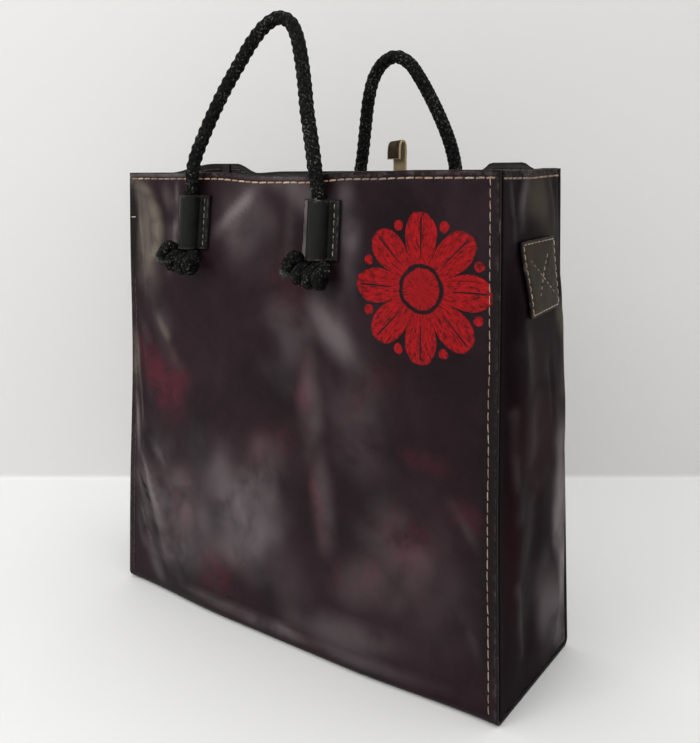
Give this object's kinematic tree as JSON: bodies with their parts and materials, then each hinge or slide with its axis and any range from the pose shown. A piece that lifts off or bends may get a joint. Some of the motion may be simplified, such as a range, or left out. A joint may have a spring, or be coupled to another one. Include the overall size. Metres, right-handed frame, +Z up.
{
  "type": "tote bag",
  "caption": "Square leather tote bag that stands open on a flat base, with bulging sewn-in sides and arched rope handles knotted below stitched tabs.",
  "frame": {"origin": "middle of the base, on the surface that the bag stands on", "axes": "+X along the width, from left to right as seen from the front; +Y from the front to the back; +Z up"},
  "size_m": [0.3064, 0.138, 0.4025],
  "materials": {
    "body_leather": "waxed plum-black pull-up leather with burgundy mottling",
    "gusset_leather": "waxed plum-black pull-up leather",
    "patch_leather": "dark olive-brown leather",
    "tab_leather": "smooth black leather",
    "rope_cotton": "black braided rope, dull",
    "strap_leather": "brown-black grain, pale flesh side"
  },
  "bodies": {
    "root": {"body_panel": "body_leather", "gusset_left": "gusset_leather", "gusset_right": "gusset_leather", "side_patch_left": "patch_leather", "side_patch_right": "patch_leather", "rope_tab_front_left": "tab_leather", "rope_tab_front_right": "tab_leather", "rope_tab_back_left": "tab_leather", "rope_tab_back_right": "tab_leather", "knot_front_left": "rope_cotton", "knot_front_right": "rope_cotton", "knot_back_left": "rope_cotton", "knot_back_right": "rope_cotton", "rope_handle_front": "rope_cotton", "rope_handle_back": "rope_cotton", "closing_strap": "strap_leather"}
  },
  "joints": []
}
